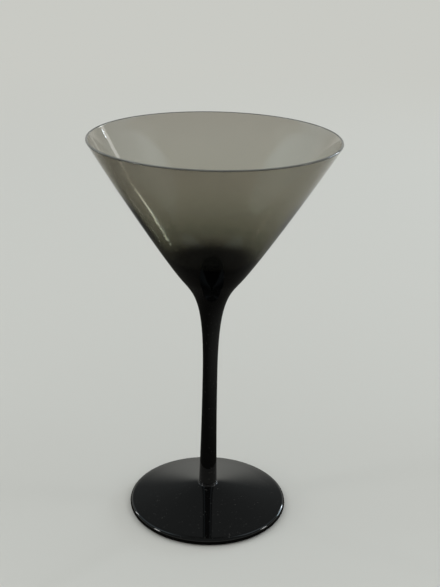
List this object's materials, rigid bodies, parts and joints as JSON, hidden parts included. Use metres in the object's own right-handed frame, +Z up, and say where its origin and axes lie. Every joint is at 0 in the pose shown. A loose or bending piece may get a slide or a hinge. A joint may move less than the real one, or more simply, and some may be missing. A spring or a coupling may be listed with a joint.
{
  "type": "martini glass",
  "caption": "Martini glass with a thin smoke-grey conical bowl on a slender black stem and a low domed black foot, for serving cocktails.",
  "frame": {"origin": "centre of the foot's resting plane, at table level", "axes": "+Z up the stem towards the rim. The glass is turned about Z, so +X and +Y are any two level directions at a right angle."},
  "size_m": [0.11, 0.11, 0.181],
  "materials": {
    "smoke_glass": "clear smoke-grey soda-lime glass, fire-polished",
    "black_glass": "opaque black soda-lime glass, fire-polished, high gloss"
  },
  "bodies": {
    "root": {"bowl": "smoke_glass", "stem": "black_glass", "foot": "black_glass"}
  },
  "joints": []
}
